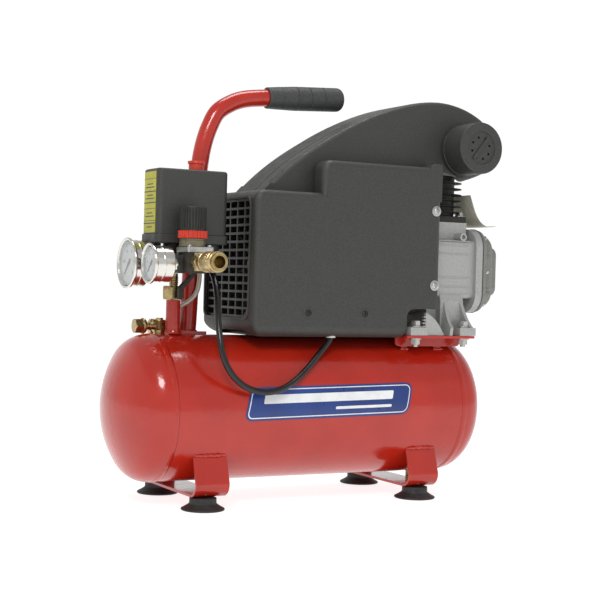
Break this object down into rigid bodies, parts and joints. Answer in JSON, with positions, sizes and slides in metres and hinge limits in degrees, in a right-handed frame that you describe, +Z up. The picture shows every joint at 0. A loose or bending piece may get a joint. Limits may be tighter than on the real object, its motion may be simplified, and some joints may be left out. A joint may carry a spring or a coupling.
{
  "type": "air compressor",
  "caption": "Portable piston air compressor: pump and cowled motor on a horizontal red receiver with rubber feet, carrying handle, pressure switch, regulator and gauges.",
  "frame": {"origin": "bottom centre of the bounding box, on the ground under the feet", "axes": "+X along the receiver towards the pump end, -Y towards the side with the outlet coupler, +Z up"},
  "size_m": [0.485, 0.206, 0.4731],
  "materials": {
    "red_paint": "gloss red enamel",
    "black_plastic": "moulded, finely textured",
    "black_metal": "satin black",
    "red_plastic": "moulded",
    "rubber": "matt",
    "chrome": "polished",
    "brass": "machined",
    "aluminium": "as cast",
    "dark_aluminium": "as cast",
    "steel": "plated",
    "copper": "drawn tube",
    "dial_white": "printed dial",
    "clear_lens": "clear",
    "bonnet_grey": "satin",
    "white_plastic": "moulded"
  },
  "bodies": {
    "compressor": {"tank_barrel": "red_paint", "tank_head_left": "red_paint", "tank_head_right": "red_paint", "foot_bracket_left": "red_paint", "rubber_foot_front_left": "rubber", "rubber_foot_rear_left": "rubber", "foot_bracket_right": "red_paint", "rubber_foot_front_right": "rubber", "rubber_foot_rear_right": "rubber", "drain_valve_body": "brass", "riser_pipe": "red_paint", "riser_nipple": "brass", "manifold": "black_metal", "switch_bracket": "black_metal", "regulator_flange": "steel", "regulator_bonnet": "bonnet_grey", "tank_gauge_case": "chrome", "tank_gauge_dial": "dial_white", "tank_gauge_lens": "clear_lens", "outlet_gauge_case": "chrome", "outlet_gauge_dial": "dial_white", "outlet_gauge_lens": "clear_lens", "coupler_body": "brass", "switch_base": "black_plastic", "switch_cover": "black_plastic", "switch_contact_block": "black_plastic", "motor_cable_gland": "rubber", "mains_cable_gland": "rubber", "handle_tube": "red_paint", "handle_grip": "rubber", "check_valve": "brass", "unloader_tube": "aluminium", "delivery_pipe": "copper", "cowl_front": "black_plastic", "cowl_rear": "black_plastic", "intake_grille": "black_plastic", "duct_front": "black_plastic", "duct_rear": "black_plastic", "air_filter": "black_plastic", "intake_elbow": "dark_aluminium", "crankcase": "aluminium", "crankcase_cover": "dark_aluminium", "cylinder": "dark_aluminium", "cylinder_head": "aluminium", "motor_stator": "steel", "motor_end_bracket": "dark_aluminium", "pump_saddle": "red_paint", "motor_cable": "rubber", "motor_cable_bush": "white_plastic"},
    "tank_needle": {"tank_gauge_needle": "black_metal"},
    "outlet_needle": {"outlet_gauge_needle": "black_metal"},
    "switch_knob": {"switch_knob": "red_plastic"},
    "regulator_knob": {"regulator_knob": "black_plastic"},
    "lock_ring": {"regulator_lock_ring": "red_plastic"},
    "coupler_sleeve": {"coupler_sleeve": "brass"},
    "drain_key": {"drain_valve_key": "brass"},
    "rotor": {"rotor_shaft": "steel", "cooling_fan": "black_plastic"},
    "piston": {"piston": "aluminium"},
    "connecting_rod": {"connecting_rod": "aluminium"}
  },
  "joints": [
    {"name": "tank_needle_turn", "type": "hinge", "parent": "compressor", "child": "tank_needle", "pos_m": [-0.2205, 0.017, 0.259], "axis": [1, 0, 0], "range_deg": [0, 270], "stiffness_Nm_per_rad": 0.002},
    {"name": "outlet_needle_turn", "type": "hinge", "parent": "compressor", "child": "outlet_needle", "pos_m": [-0.2165, -0.033, 0.259], "axis": [1, 0, 0], "range_deg": [0, 270], "stiffness_Nm_per_rad": 0.002},
    {"name": "switch_knob_push", "type": "slide", "parent": "compressor", "child": "switch_knob", "axis": [0, 0, 1], "range_m": [-0.006, 0]},
    {"name": "regulator_knob_turn", "type": "hinge", "parent": "compressor", "child": "regulator_knob", "pos_m": [-0.1695, -0.033, 0.3], "axis": [0, 0, 1], "range_deg": [-720, 720]},
    {"name": "lock_ring_turn", "type": "hinge", "parent": "compressor", "child": "lock_ring", "pos_m": [-0.1695, -0.033, 0.291], "axis": [0, 0, 1], "range_deg": [0, 180]},
    {"name": "coupler_sleeve_pull", "type": "slide", "parent": "compressor", "child": "coupler_sleeve", "axis": [0, 1, 0], "range_m": [0, 0.005], "stiffness_N_per_m": 500},
    {"name": "drain_key_turn", "type": "hinge", "parent": "compressor", "child": "drain_key", "pos_m": [0.1445, 0.005, 0.017], "axis": [0, 1, 0], "range_deg": [0, 90]},
    {"name": "motor_spin", "type": "hinge", "parent": "compressor", "child": "rotor", "pos_m": [0.0455, 0.017, 0.263], "axis": [1, 0, 0], "continuous": true},
    {"name": "piston_stroke", "type": "slide", "parent": "compressor", "child": "piston", "axis": [0, 0, 1], "range_m": [0, 0.034]},
    {"name": "rod_swing", "type": "hinge", "parent": "piston", "child": "connecting_rod", "pos_m": [0.1635, 0.017, 0.328], "axis": [1, 0, 0], "range_deg": [-12, 12]}
  ]
}
